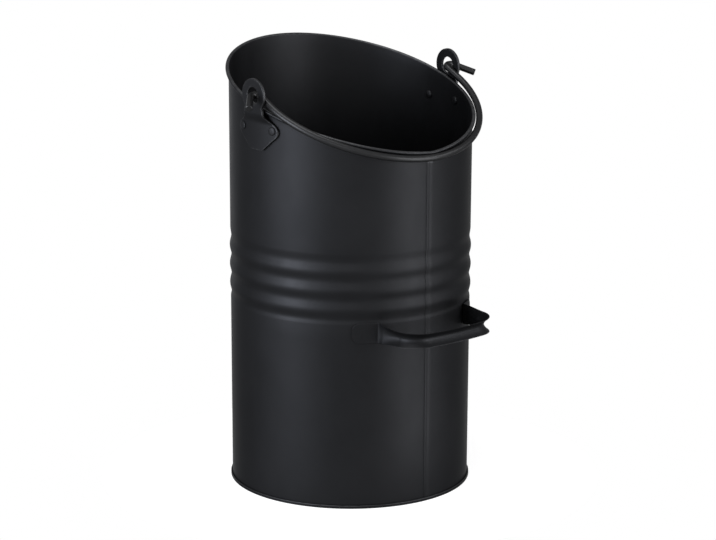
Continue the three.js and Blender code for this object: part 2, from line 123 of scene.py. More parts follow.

# ---- Ears ----
EAR_THICK = 0.0026
EAR_Y = 0.004
EYE_OVER_RIM = 0.01105
EYE_RING = 0.0165
EYE_HOLE = 0.0082
RING_END = math.radians(-40)  # where the ring runs into the neck
NECK_HALF = 0.0142
NECK_DROP = 0.009
SHOULDER_HALF = 0.0276
SHOULDER_TOP_DROP = 0.019
SHOULDER_BOTTOM_DROP = 0.026
SHOULDER_ROUND = 0.0035
FOOT_HALF = 0.008
FOOT_DROP = 0.0425
FOOT_ROUND = 0.001
JOGGLE_HIGH_DROP = 0.0055
JOGGLE_LOW_DROP = 0.016
BEAD_TO_EAR_GAP = 0.001
EAR_EDGE = 0.0004  # rounding of the cut edges
EAR_PITCH = 0.0012  # spacing of points inside the outline
EAR_MARGIN = EAR_PITCH * 0.6  # clear width inside the outline
EAR_CUT_PITCH = 0.0007  # spacing of points along the outline
RING_STEPS = 60
EYE_STEPS = 72
CORNER_STEPS = 8
EAR_EDGE_STEPS = 4
# Lighter coat on the ear's cut edges: partly rubbed wear, partly painted highlight
EAR_SHEEN_AND_WEAR = 0.5

# ---- Rivets ----
RIVET_SPREAD = math.radians(9.8)
RIVET_DROP = 0.0215
RIVET_HEAD = 0.0041
RIVET_OUT_DOME = 0.0012
RIVET_IN_DOME = 0.0016
RIVET_SHANK = 0.0025
RIVET_EDGE = 0.0003  # rolled edge of a head
RIVET_EDGE_STEPS = 4
RIVET_DOME_STEPS = 14
RIVET_SIDES = 40
# Lighter coat on the rivet heads: partly rubbed wear, partly painted highlight
RIVET_SHEEN_AND_WEAR = 0.08

# ---- Bail ----
ROD_RADIUS = 0.0033
PIVOT_SHIFT = 0.0004  # of the rod's line from the eye's middle, in y and in z
ARM_TO_EAR_GAP = 0.0004
BOW_TO_BEAD_GAP = 0.0001
BAIL_STRAIGHT = 0.023
BOW_EXPONENT = 1.897  # of the superellipse that the bow follows
REST_PAST = math.radians(0.6)  # how far it hangs past the line to the low bead
ELBOW_RADIUS = 0.0055
HOOK_BEYOND = 0.0028  # from the ear's outer face to the hook's corner
HOOK_ANGLE = math.radians(50)
HOOK_RADIUS = 0.0055
HOOK_TAIL = 0.025
ROD_CHAMFER = 0.0005
ROD_SIDES = 32
BEND_STEPS = 12
BOW_STEPS = 90
# Lighter coat along the rod and at its ends: partly rubbed wear, partly painted highlight
ROD_SHEEN_AND_WEAR = 0.12
ROD_END_SHEEN_AND_WEAR = 0.2

# ---- Rear grip ----
GRIP_UNDER_RIBS = 0.0222
GRIP_SHEET = 0.0012
PAD_HALF = 0.0104
PAD_START = math.radians(39.8)  # from +Y
PAD_END = math.radians(27.6)
PAD_ROUND = 0.008
LEAVE_INSET = 0.0014  # from the pad's end to where the arm runs straight
LEAVE_RISE = 0.007
BEND_INSET = 0.0011  # from the pad's end to its bend's control point
BEND_RISE = 0.001
ARM_INSET = 0.0052
GRIP_STANDOFF = 0.0348
GRIP_BAR_BOW = 0.0015
GRIP_CORNER = 0.020
BAR_HALF = 0.0071
CORNER_HALF = 0.0078
CHANNEL_DEPTH = 0.006
CHANNEL_POWER = 1.8
CHANNEL_RUN = 0.033  # length in which the channel forms
CHANNEL_LEAD = 0.004  # how far before the pad's end it starts
HEADING_REACH = 0.0012  # half the chord that gives a heading
PAD_STEPS = 40
PAD_ROUND_STEPS = 16
LEAVE_STEPS = 16
GRIP_CORNER_STEPS = 30
BAR_STEPS = 30
GRIP_STATIONS = 220
GRIP_ACROSS = 28
STRIP_EDGE_STEPS = 6
# Lighter coat on the strip's rounded edges: partly rubbed wear, partly painted highlight
STRIP_SHEEN_AND_WEAR = 0.2

# ---- Coats: a scale is noise cells for each metre ----
NOISE_LOW, NOISE_HIGH = 0.3, 0.7  # where most of a noise lies
CLOUD_SCALE = 16
CLOUD_SHARE = 0.7  # of the mottling; the rest is fleck
FLECK_SCALE = 2200
PATCH_SCALE = 260
PATCH_LEAST = 0.35
SMEAR_SCALE = 38
SMEAR_STRETCH = (1, 1, 0.35)
RUB_POLISH = 0.16  # how much smoother the lighter coat on edges and crests is (rubbed wear and painted highlight)
GRAIN_SCALE, GRAIN_DEPTH = 3400, 0.00002
PEEL_SCALE, PEEL_DEPTH = 820, 0.00004
COAT_BUMP = 0.5
COAT_METALLIC = 0.9
COAT_TINT = (0.50, 0.50, 0.50, 1)
STREAK_SCALE, STREAK_DEPTH = 900, 0.00003
STREAK_STRETCH = (1, 1, 6)
STREAK_BUMP = 0.4
SPOT_SCALE = 140
WIRE_DARK = (0.20, 0.205, 0.21)
WIRE_PALE = (0.33, 0.335, 0.34)
WIRE_SMOOTHEST, WIRE_ROUGHEST = 0.32, 0.5

# ---- Camera: the photograph's, 716 by 540 ----
CAMERA_AT = Vector((1.9353, 2.2671, 0.9763))
CAMERA_AIM = Vector((-0.6307, -0.7350, -0.2489))
CAMERA_ROLL = math.radians(0.19)
SENSOR = 36
LENS = 155.04

# ---- Studio ----
TABLE_RADIUS = 0.25
TABLE_DROP = 0.0002  # the table lies just under the base
TABLE_SIDES = 96
TABLE_GREY = (0.8, 0.8, 0.8, 1)  # as the object sees it
TABLE_SHADED = (0.3, 0.3, 0.3, 1)  # the part of it that takes a shadow
TABLE_WHITE = 0.8  # the part of it that doesn't
WHITE = (1, 1, 1, 1)
AMBIENT = 0.2
COOL = (0.90, 0.935, 1.0)
PLAIN = (1, 1, 1)

# Tall softboxes at the sides, in two tiers, and one behind
SOFTBOX_DISTANCE = 1.6
SOFTBOX_WIDTH = 0.95
SOFTBOX_HEIGHT = 0.85
LEFT_TURN = math.radians(-54)  # from the camera's direction
RIGHT_TURN = math.radians(60)
BACK_TURN = math.radians(-140)
# (name, turn, height of its middle, watts, colour)
SIDE_LAMPS = (
    ("softbox_left_low", LEFT_TURN, -0.32, 3.5, COOL),
    ("softbox_left_high", LEFT_TURN, 0.53, 41, COOL),
    ("softbox_right_low", RIGHT_TURN, -0.36, 12, PLAIN),
    ("softbox_right_high", RIGHT_TURN, 0.53, 20.5, PLAIN),
    ("softbox_back", BACK_TURN, 0.25, 2.5, COOL),
)
# Lamps that look down at the object's middle
AIM = Vector((0, 0, 0.2))
# (name, turn, elevation, distance, width, height, watts)
HIGH_LAMPS = (
    ("softbox_front", math.radians(-6), math.radians(18), 2.0, 0.8, 0.5, 5),
    ("softbox_top", math.radians(-33), math.radians(78), 1.7, 0.9, 0.9, 18),
    ("softbox_high", math.radians(91), math.radians(38), 1.7, 0.6, 0.6, 6.5),
)


def smooth(t):
    t = min(max(t, 0), 1)
    return t * t * (3 - 2 * t)


def lerp(a, b, t):
    return a + (b - a) * t


def arc(radius, start, stop, steps):
    """Points (x, y) on an arc about the origin."""
    for i in range(steps + 1):
        a = lerp(start, stop, i / steps)
        yield radius * math.cos(a), radius * math.sin(a)


def wall_radius(z):
    return BASE_RADIUS + TAPER * z / TAPER_HEIGHT


def rim_height(angle):
    """Height of the bead's centre; the angle is measured from the seam at +Y."""
    c = math.cos(angle)
    flank = RIM_RISE * abs(math.sin(angle)) * (1 + c) / 2
    return RIM_LOW + (RIM_HIGH - RIM_LOW) * (1 - c) / 2 + flank


EAR_RIM_Z = rim_height(math.acos(EAR_Y / BEAD_R))
EYE_Z = EAR_RIM_Z + EYE_OVER_RIM
RIVET_Z = EAR_RIM_Z - RIVET_DROP
EAR_X = BEAD_R + BEAD_RADIUS + BEAD_TO_EAR_GAP
EAR_WRAP = wall_radius(RIVET_Z) + SEAT_GAP
PIVOT = Vector((0, EAR_Y + PIVOT_SHIFT, EYE_Z + PIVOT_SHIFT))
ARM_X = EAR_X - ARM_TO_EAR_GAP - ROD_RADIUS
SEAM_REACH = math.hypot(BEAD_R - PIVOT.y, PIVOT.z - RIM_LOW)
BAIL_REACH = SEAM_REACH + BEAD_RADIUS + BOW_TO_BEAD_GAP + ROD_RADIUS
REST_DROP = math.atan2(PIVOT.z - RIM_LOW, BEAD_R - PIVOT.y) + REST_PAST
GRIP_Z = RIB_LOWEST - GRIP_UNDER_RIBS


# ---- Materials ----
class Nodes:
    """A short way to build a node tree around a Principled shader."""

    def __init__(self, name):
        self.material = bpy.data.materials.new(name)
        self.material.use_nodes = True
        self.tree = self.material.node_tree
        self.shader = self.tree.nodes["Principled BSDF"]
        self.place = self.tree.nodes.new("ShaderNodeTexCoord").outputs["Object"]

    def link(self, output, node_input):
        self.tree.links.new(output, node_input)

    def noise(self, scale, detail, roughness=0.5, stretch=None):
        place = self.place
        if stretch:
            mapping = self.tree.nodes.new("ShaderNodeMapping")
            mapping.inputs["Scale"].default_value = stretch
            self.link(place, mapping.inputs["Vector"])
            place = mapping.outputs["Vector"]
        noise = self.tree.nodes.new("ShaderNodeTexNoise")
        noise.inputs["Scale"].default_value = scale
        noise.inputs["Detail"].default_value = detail
        noise.inputs["Roughness"].default_value = roughness
        self.link(place, noise.inputs["Vector"])
        return noise.outputs["Fac"]

    def spread(self, value, low, high):
        """Maps a noise's usual range onto low to high."""
        node = self.tree.nodes.new("ShaderNodeMapRange")
        node.inputs["From Min"].default_value = NOISE_LOW
        node.inputs["From Max"].default_value = NOISE_HIGH
        node.inputs["To Min"].default_value = low
        node.inputs["To Max"].default_value = high
        self.link(value, node.inputs["Value"])
        return node.outputs["Result"]

    def math(self, kind, a, b):
        node = self.tree.nodes.new("ShaderNodeMath")
        node.operation = kind
        for value, socket in zip((a, b), node.inputs):
            if isinstance(value, (int, float)):
                socket.default_value = value
            else:
                self.link(value, socket)
        return node.outputs["Value"]

    def mix(self, amount, a, b):
        """A colour between two colours."""
        node = self.tree.nodes.new("ShaderNodeMix")
        node.data_type = "RGBA"
        self.link(amount, node.inputs["Factor"])
        for value, socket in zip((a, b), (node.inputs["A"], node.inputs["B"])):
            if isinstance(value, tuple):
                socket.default_value = (*value, 1)
            else:
                self.link(value, socket)
        return node.outputs["Result"]

    def bump(self, height, depth, strength, under=None):
        node = self.tree.nodes.new("ShaderNodeBump")
        node.inputs["Distance"].default_value = depth
        node.inputs["Strength"].default_value = strength
        self.link(height, node.inputs["Height"])
        if under:
            self.link(under, node.inputs["Normal"])
        return node.outputs["Normal"]

    def attribute(self, name):
        node = self.tree.nodes.new("ShaderNodeAttribute")
        node.attribute_name = name
        return node.outputs["Fac"]


def stove_coat(name, dark, pale, sheen_and_wear, smoothest, roughest):
    """Satin black coat: faint mottling, orange peel over a fine grain, and lighter, smoother edges and
    crests, partly rubbed wear and partly painted highlight.
    """
    n = Nodes(name)
    cloud = n.math("MULTIPLY", n.noise(CLOUD_SCALE, detail=4, roughness=0.6), CLOUD_SHARE)
    fleck = n.math("MULTIPLY", n.noise(FLECK_SCALE, detail=1), 1 - CLOUD_SHARE)
    mottling = n.spread(n.math("ADD", cloud, fleck), 0, 1)
    patchy = n.spread(n.noise(PATCH_SCALE, detail=3), PATCH_LEAST, 1)
    # Lighter coat where the mesh marks it: partly rubbed wear, partly painted highlight on edges and
    # crests.
    sheen_and_rub = n.math("MULTIPLY", n.attribute("sheen_and_wear_share"), patchy)
    n.link(n.mix(sheen_and_rub, n.mix(mottling, dark, pale), sheen_and_wear), n.shader.inputs["Base Color"])
    smear = n.noise(SMEAR_SCALE, detail=3, roughness=0.55, stretch=SMEAR_STRETCH)
    polish = n.math("MULTIPLY", sheen_and_rub, RUB_POLISH)
    rough = n.math("SUBTRACT", n.spread(smear, smoothest, roughest), polish)
    n.link(rough, n.shader.inputs["Roughness"])
    grain = n.bump(n.noise(GRAIN_SCALE, detail=1), GRAIN_DEPTH, COAT_BUMP)
    peel = n.bump(n.noise(PEEL_SCALE, detail=2), PEEL_DEPTH, COAT_BUMP, under=grain)
    n.link(peel, n.shader.inputs["Normal"])
    n.shader.inputs["Metallic"].default_value = COAT_METALLIC
    n.shader.inputs["Specular IOR Level"].default_value = 0.0
    n.shader.inputs["Specular Tint"].default_value = COAT_TINT
    return n.material


def bare_wire(name):
    """Drawn steel wire: fine streaks along it and dull spots."""
    n = Nodes(name)
    streak = n.noise(STREAK_SCALE, detail=3, stretch=STREAK_STRETCH)
    n.link(n.mix(streak, WIRE_DARK, WIRE_PALE), n.shader.inputs["Base Color"])
    spots = n.spread(n.noise(SPOT_SCALE, detail=3), WIRE_SMOOTHEST, WIRE_ROUGHEST)
    n.link(spots, n.shader.inputs["Roughness"])
    n.link(n.bump(streak, STREAK_DEPTH, STREAK_BUMP), n.shader.inputs["Normal"])
    n.shader.inputs["Metallic"].default_value = 1
    return n.material


COAT = stove_coat(
    "black_coat",
    dark=(0.0113, 0.0116, 0.0126),
    pale=(0.0138, 0.0141, 0.0153),
    sheen_and_wear=(0.052, 0.0527, 0.055),
    smoothest=0.44,
    roughest=0.52,
)
ROD_COAT = stove_coat(
    "black_rod",
    dark=(0.017, 0.0172, 0.018),
    pale=(0.0208, 0.021, 0.0218),
    sheen_and_wear=(0.046, 0.0465, 0.048),
    smoothest=0.34,
    roughest=0.42,
)
WIRE = bare_wire("bare_wire")


# ---- Meshes ----
def add_piece(name, points, faces, sheen_and_wear_share, material, body, node, sharp=SHARP):
    """One closed mesh that stands for a node. The share list gives each point's share of lighter coat:
    partly rubbed wear, partly painted highlight.
    """
    mesh = bpy.data.meshes.new(name)
    mesh.from_pydata([tuple(p) for p in points], [], faces)
    sheen_and_wear = mesh.attributes.new("sheen_and_wear_share", "FLOAT", "POINT")
    sheen_and_wear.data.foreach_set("value", sheen_and_wear_share)
    built = bmesh.new()
    built.from_mesh(mesh)
    bmesh.ops.remove_doubles(built, verts=built.verts, dist=MERGE)
    bmesh.ops.recalc_face_normals(built, faces=built.faces)
    built.to_mesh(mesh)
    built.free()
    mesh.shade_smooth()
    mesh.set_sharp_from_angle(angle=sharp)
    mesh.materials.append(material)
    piece = bpy.data.objects.new(name, mesh)
    bpy.context.scene.collection.objects.link(piece)
    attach(piece, body)
    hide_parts(node)
    return piece


def grid_faces(columns, rows, wrap_columns=True, wrap_rows=True):
    """Quads over points numbered column * rows + row."""
    faces = []
    for i in range(columns if wrap_columns else columns - 1):
        for j in range(rows if wrap_rows else rows - 1):
            a, b = i * rows, (i + 1) % columns * rows
            k = (j + 1) % rows
            faces.append((a + j, b + j, b + k, a + k))
    return faces


def end_caps(count, rows):
    """Faces over the first and the last ring of a tube."""
    return [tuple(range(rows)), tuple(range(count - rows, count))]


def column_angles():
    """Even columns round the body, with close ones over the seam."""
    half = (SEAM_HALF + SEAM_CREASE + SEAM_SHIFT) / RIM_RADIUS
    seam = [lerp(-half, half, i / SEAM_COLUMNS) for i in range(SEAM_COLUMNS + 1)]
    rest = [lerp(half, 2 * math.pi - half, i / COLUMNS) for i in range(1, COLUMNS)]
    return seam + rest


def seam_height(s):
    """Height of the seam at s along the wall from its middle, with +X positive."""
    for (high, a), (low, b) in zip(SEAM_SECTION, SEAM_SECTION[1:]):
        if low <= s <= high:
            return lerp(a, b, (high - s) / (high - low))
    return 0


def rib_offset(z):
    low = RIB_LOWEST - RIB_PITCH / 2
    high = low + RIB_COUNT * RIB_PITCH
    valley = RIB_SET - RIB_SWING
    if z < low:
        return valley * smooth(1 - (low - z) / RIB_FADE_LOW)
    if z > high:
        return valley * smooth(1 - (z - high) / RIB_FADE_HIGH)
    return RIB_SET + RIB_SWING * math.cos(2 * math.pi * (z - RIB_LOWEST) / RIB_PITCH)


def revolve(profile, name, node, material):
    """Turns closed rows of (r, z, rim, seam, share of lighter coat); rim and seam are how far a row
    follows each.

    The seam's band gets a little lighter coat, partly rubbed wear and partly painted sheen, and its
    sloping upper end a painted highlight where it faces the light from above.
    """
    angles = column_angles()
    points, sheen_and_wear_share = [], []
    for a in angles:
        s = a if a < math.pi else a - 2 * math.pi
        band = seam_height(s * RIM_RADIUS - SEAM_SHIFT)
        top = rim_height(a)
        for r, z, rim, seam, sheen_and_wear in profile:
            reach = (r + seam * band) * ROUNDNESS
            points.append((reach * math.sin(a), reach * math.cos(a), z + rim * top))
            # Seam band: lighter coat, partly painted sheen; its sloping upper end: painted highlight
            sheen_and_rub = SEAM_SHEEN_AND_WEAR if seam in (0, 1) else CROWN_PAINTED_HIGHLIGHT
            sheen_and_wear_share.append(max(sheen_and_wear, sheen_and_rub * seam * max(band, 0) / SEAM_RISE))
    faces = grid_faces(len(angles), len(profile))
    return add_piece(name, points, faces, sheen_and_wear_share, material, "bucket", node)


def wall_rows(inset, seam):
    """Rows of one face of the wall, from above the base to under the bead."""
    low = RIB_LOWEST - RIB_PITCH / 2 - RIB_FADE_LOW
    high = low + RIB_FADE_LOW + RIB_COUNT * RIB_PITCH + RIB_FADE_HIGH
    foot = FOLD_TOP + SEAT_GAP + SEAM_FOOT
    rows = []
    for i in range(ROWS_UNDER_RIBS):
        z = lerp(foot, low, i / ROWS_UNDER_RIBS)
        rows.append((wall_radius(z) - inset, z, 0, seam, 0))
    steps = round((high - low) / RIB_PITCH * RIB_ROWS)
    for i in range(steps + 1):
        z = lerp(low, high, i / steps)
        rows.append((wall_radius(z) + rib_offset(z) - inset, z, 0, seam, 0))
    under = -BEAD_RADIUS - SEAM_UNDER_BEAD - SEAM_CROWN
    for i in range(1, ROWS_OVER_RIBS + 1):
        rim = i / ROWS_OVER_RIBS
        r = lerp(wall_radius(high), RIM_RADIUS, rim) - inset
        rows.append((r, lerp(high, under, rim), rim, seam, 0))
    return rows


def body_profile():
    """The body: the foot flange, the outer face, the curl, and the inner face back down."""
    rows = [
        (BASE_RADIUS - SHEET, FLANGE_Z, 0, 0, 0),
        (BASE_RADIUS + FLANGE_REACH, FLANGE_Z, 0, 0, 0),
        (BASE_RADIUS + FLANGE_REACH, FLANGE_Z + SHEET, 0, 0, 0),
        (BASE_RADIUS, FLANGE_Z + SHEET, 0, 0, 0),
    ]
    foot = FOLD_TOP + SEAT_GAP
    rows += [(BASE_RADIUS, foot + SEAM_FOOT * t, 0, math.sqrt(t), 0) for t in SEAM_FOOT_ROWS]
    rows += wall_rows(0, 1)
    top = -BEAD_RADIUS - SEAM_UNDER_BEAD
    for t in SEAM_CROWN_ROWS:
        rows.append((RIM_RADIUS, top - SEAM_CROWN * (1 - t), 1, 1 - t**SEAM_CROWN_POWER, 0))
    for x, y in arc(BORE_RADIUS, math.pi, CURL_END, CURL_STEPS // 2):
        rows.append((BEAD_R + x, y, 1, 0, 0))
    cut = (BORE_RADIUS + BEAD_RADIUS) / 2
    x, y = cut * math.cos(CURL_END) - CURL_NOSE, cut * math.sin(CURL_END) - CURL_NOSE
    rows.append((BEAD_R + x, y, 1, 0, 0))
    # Painted highlight: the bead's coat gets lighter toward its top, where the light from above falls.
    for x, y in arc(BEAD_RADIUS, CURL_END, math.pi, CURL_STEPS):
        rows.append((BEAD_R + x, y, 1, 0, smooth(y / BEAD_RADIUS)))
    rows += reversed(wall_rows(SHEET, 0))
    return rows


def base_profile():
    """The base: a flat disc with its edge folded up and over the body's flange."""
    foot, top = FOLD_OUTER - FOLD_FOOT_ROUND, FOLD_OUTER - FOLD_ROUND
    low = arc(FOLD_FOOT_ROUND, -QUARTER, 0, FOLD_STEPS)
    high = arc(FOLD_ROUND, 0, QUARTER, FOLD_STEPS)
    rows = [(0, 0, 0)]
    rows += [(foot + x, FOLD_FOOT_ROUND + y, 0) for x, y in low]
    # Painted highlight along the fold's upper rounding; none on the lower rounding
    for x, y in high:
        rows.append((top + x, FOLD_TOP - FOLD_ROUND + y, 2 * FOLD_PAINTED_HIGHLIGHT * x * y / FOLD_ROUND**2))
    rows += [
        (BASE_RADIUS + SEAT_GAP, FOLD_TOP, 0),
        (BASE_RADIUS + SEAT_GAP, FOLD_UNDER, 0),
        (FOLD_INNER, FOLD_UNDER, 0),
        (FOLD_INNER, SHEET, 0),
        (0, SHEET, 0),
    ]
    return [(r, z, 0, 0, sheen_and_wear) for r, z, sheen_and_wear in rows]


# ---- Ears ----
def ear_reach(y, z, t):
    """x of the ear at y, z, for a point t out of its inner face."""
    wrapped = math.sqrt((EAR_WRAP + t) ** 2 - y * y)
    above = z - (EAR_RIM_Z - JOGGLE_LOW_DROP)
    return lerp(wrapped, EAR_X + t, smooth(above / (JOGGLE_LOW_DROP - JOGGLE_HIGH_DROP)))


def rounded(path, a, b, c, radius):
    """Adds the corner at b, between a and c, as a quadratic curve."""
    start = b + (a - b).normalized() * radius
    end = b + (c - b).normalized() * radius
    for i in range(CORNER_STEPS + 1):
        t = i / CORNER_STEPS
        path.append(start.lerp(b, t).lerp(b.lerp(end, t), t))


def ear_outline():
    """Outline of the cut plate in (y, z), anticlockwise, evenly spaced."""
    drops = (
        (NECK_HALF, NECK_DROP),
        (SHOULDER_HALF, SHOULDER_TOP_DROP),
        (SHOULDER_HALF, SHOULDER_BOTTOM_DROP),
        (FOOT_HALF, FOOT_DROP),
    )
    left = [Vector((-half, EAR_RIM_Z - drop)) for half, drop in drops]
    right = [Vector((-p.x, p.y)) for p in left]
    path = [
        Vector((y, EYE_Z + z)) for y, z in arc(EYE_RING, RING_END, math.pi - RING_END, RING_STEPS)
    ]
    corners = [path[-1], *left, *reversed(right), path[0]]
    side = (SHOULDER_ROUND, SHOULDER_ROUND, SHOULDER_ROUND)
    rounds = (*side, FOOT_ROUND, FOOT_ROUND, *side)
    for a, b, c, radius in zip(corners, corners[1:], corners[2:], rounds):
        rounded(path, a, b, c, radius)
    return even(path, EAR_CUT_PITCH)


def even(path, pitch):
    """The same closed path with points about one pitch apart."""
    closed = [*path, path[0]]
    spaced = []
    for a, b in zip(closed, closed[1:]):
        n = max(round((b - a).length / pitch), 1)
        if (b - a).length > 1e-6:
            spaced += [a.lerp(b, i / n) for i in range(n)]
    return spaced


def inward(loop):
    """Unit normals of an anticlockwise loop, into it."""
    normals = []
    for i, p in enumerate(loop):
        along = loop[(i + 1) % len(loop)] - loop[i - 1]
        normals.append(Vector((-along.y, along.x)).normalized())
    return normals


def inside(p, loop):
    """True if p lies in the closed loop."""
    odd = False
    for a, b in zip(loop, [*loop[1:], loop[0]]):
        if (a.y > p.y) != (b.y > p.y) and p.x < a.x + (p.y - a.y) * (b.x - a.x) / (b.y - a.y):
            odd = not odd
    return odd


def clear_of(p, loop, distance):
    return min((p - q).length_squared for q in loop) > distance * distance


def plate_faces(outer, hole):
    """Points and triangles of the flat plate between two loops, with even points inside."""
    low = Vector((min(p.x for p in outer), min(p.y for p in outer)))
    high = Vector((max(p.x for p in outer), max(p.y for p in outer)))
    loops = [*outer, *hole]
    points = list(loops)
    for i in range(int((high.x - low.x) / EAR_PITCH) + 1):
        for j in range(int((high.y - low.y) / EAR_PITCH) + 1):
            p = low + Vector((i, j)) * EAR_PITCH
            if inside(p, outer) and not inside(p, hole) and clear_of(p, loops, EAR_MARGIN):
                points.append(p)
    n, m = len(outer), len(hole)
    edges = [(i, (i + 1) % n) for i in range(n)] + [(n + i, n + (i + 1) % m) for i in range(m)]
    flat, _, triangles, *_ = delaunay_2d_cdt(points, edges, [], 0, 1e-9)
    kept = []
    for t in triangles:
        centre = sum((flat[k] for k in t), Vector((0, 0))) / len(t)
        if inside(centre, outer) and not inside(centre, hole):
            kept.append(tuple(t))
    return flat, kept


def add_ear(name, side):
    """A plate with rounded cut edges, wrapped on the wall below and flat outside the bead above."""
    outline = [p + Vector((EAR_Y, 0)) for p in ear_outline()]
    ring = list(arc(EYE_HOLE, 0, 2 * math.pi, EYE_STEPS))[:-1]
    eye = [Vector((EAR_Y + y, EYE_Z + z)) for y, z in ring]
    turns = [QUARTER * i / EAR_EDGE_STEPS for i in range(EAR_EDGE_STEPS + 1)]
    # (inset, depth) from the inner face's edge, round the side, to the outer face's edge
    near = [(EAR_EDGE * (1 - math.sin(a)), EAR_EDGE * (1 - math.cos(a))) for a in turns]
    rows = near + [(inset, EAR_THICK - depth) for inset, depth in reversed(near)]
    outer_in, eye_in = inward(outline), inward(eye)
    flat, triangles = plate_faces(
        [p + n * EAR_EDGE for p, n in zip(outline, outer_in)],
        [p - n * EAR_EDGE for p, n in zip(eye, eye_in)],
    )
    points, faces, sheen_and_wear_share = [], [], []

    def put(p, t, sheen_and_wear):
        points.append((side * ear_reach(p.x, p.y, t), p.x, p.y))
        sheen_and_wear_share.append(sheen_and_wear)

    for t in (0, EAR_THICK):
        first = len(points)
        for p in flat:
            put(p, t, 0)
        faces += [tuple(first + k for k in tri) for tri in triangles]
    for loop, normals, sign in ((outline, outer_in, 1), (eye, eye_in, -1)):
        first, n = len(points), len(loop)
        for p, normal in zip(loop, normals):
            for inset, depth in rows:
                put(p + normal * inset * sign, depth, EAR_SHEEN_AND_WEAR)
        faces += [tuple(first + k for k in quad) for quad in grid_faces(n, len(rows), True, False)]
    return add_piece(name, points, faces, sheen_and_wear_share, COAT, "bucket", name, CUT_SHARP)


# ---- Rivets ----
def add_rivet(name, angle, side):
    """A shank with a domed head outside and a lower one inside."""
    outer_seat = EAR_WRAP + EAR_THICK + SEAT_GAP
    inner_seat = wall_radius(RIVET_Z) - SHEET - SEAT_GAP
    profile = []
    for seat, rise, way in ((inner_seat, RIVET_IN_DOME, -1), (outer_seat, RIVET_OUT_DOME, 1)):
        dome = (rise - RIVET_EDGE) / RIVET_HEAD
        rolled = arc(RIVET_EDGE, -QUARTER, 0, RIVET_EDGE_STEPS)
        crown = arc(RIVET_HEAD, 0, QUARTER, RIVET_DOME_STEPS)
        head = [(RIVET_HEAD - RIVET_EDGE + r, y) for r, y in rolled]
        head += [(r, y * dome) for r, y in list(crown)[1:]]
        head = [(r, seat + way * (RIVET_EDGE + y)) for r, y in head]
        profile += [(RIVET_SHANK, seat), *head] if way > 0 else [*reversed(head), (RIVET_SHANK, seat)]
    outward = Vector((side * math.cos(angle), math.sin(angle), 0))
    across = Vector((0, 0, 1)).cross(outward)
    points = []
    for i in range(RIVET_SIDES):
        a = 2 * math.pi * i / RIVET_SIDES
        spoke = across * math.cos(a) + Vector((0, 0, math.sin(a)))
        points += [outward * reach + spoke * r + Vector((0, 0, RIVET_Z)) for r, reach in profile]
    faces = grid_faces(RIVET_SIDES, len(profile), True, False)
    sheen_and_wear_share = [RIVET_SHEEN_AND_WEAR] * len(points)
    return add_piece(name, points, faces, sheen_and_wear_share, COAT, "bucket", name)


# ---- Bail ----
def half_bail():
    """Half of the rod's centre line as (x, along) pairs, from the cut end to the middle of the bow."""
    corner = EAR_X + EAR_THICK + HOOK_BEYOND
    setback = HOOK_RADIUS * math.tan(HOOK_ANGLE / 2)
    hook = arc(HOOK_RADIUS, HOOK_ANGLE - QUARTER, -QUARTER, BEND_STEPS)
    elbow = arc(ELBOW_RADIUS, -QUARTER, -2 * QUARTER, BEND_STEPS)
    points = [(corner + HOOK_TAIL * math.cos(HOOK_ANGLE), HOOK_TAIL * math.sin(HOOK_ANGLE))]
    points += [(corner - setback + x, HOOK_RADIUS + y) for x, y in hook]
    points += [(ARM_X + ELBOW_RADIUS + x, ELBOW_RADIUS + y) for x, y in elbow]
    power = 2 / BOW_EXPONENT
    for i in range(BOW_STEPS):
        a = QUARTER * i / BOW_STEPS
        depth = (BAIL_REACH - BAIL_STRAIGHT) * math.sin(a) ** power
        points.append((ARM_X * math.cos(a) ** power, BAIL_STRAIGHT + depth))
    points.append((0, BAIL_REACH))
    return points


def add_bail():
    """One bent round rod with chamfered ends, hanging on the low side."""
    half = half_bail()
    flat = half + [(-x, along) for x, along in reversed(half[:-1])]
    forward = Vector((0, math.cos(REST_DROP), -math.sin(REST_DROP)))
    normal = Vector((1, 0, 0)).cross(forward)
    line = [PIVOT + Vector((x, 0, 0)) + forward * along for x, along in flat]
    last = len(line) - 1
    tangents = [
        (line[min(i + 1, last)] - line[max(i - 1, 0)]).normalized() for i in range(last + 1)
    ]
    first_in = line[0] + tangents[0] * ROD_CHAMFER
    last_in = line[-1] - tangents[-1] * ROD_CHAMFER
    rings = [
        (line[0], tangents[0], ROD_RADIUS - ROD_CHAMFER, 0),
        (first_in, tangents[0], ROD_RADIUS, ROD_END_SHEEN_AND_WEAR),
        *((p, t, ROD_RADIUS, ROD_SHEEN_AND_WEAR) for p, t in zip(line[1:-1], tangents[1:-1])),
        (last_in, tangents[-1], ROD_RADIUS, ROD_END_SHEEN_AND_WEAR),
        (line[-1], tangents[-1], ROD_RADIUS - ROD_CHAMFER, 0),
    ]
    points, sheen_and_wear_share = [], []
    for centre, tangent, radius, sheen_and_wear in rings:
        across = normal.cross(tangent)
        for i in range(ROD_SIDES):
            a = 2 * math.pi * i / ROD_SIDES
            points.append(centre + (across * math.cos(a) + normal * math.sin(a)) * radius)
            sheen_and_wear_share.append(sheen_and_wear)
    faces = grid_faces(len(rings), ROD_SIDES, False, True)
    faces += end_caps(len(points), ROD_SIDES)
    return add_piece("bail_rod", points, faces, sheen_and_wear_share, ROD_COAT, "bail", "bail")


# ---- Rear grip ----
def quadratic(a, b, c, steps):
    return [a.lerp(b, i / steps).lerp(b.lerp(c, i / steps), i / steps) for i in range(steps + 1)]


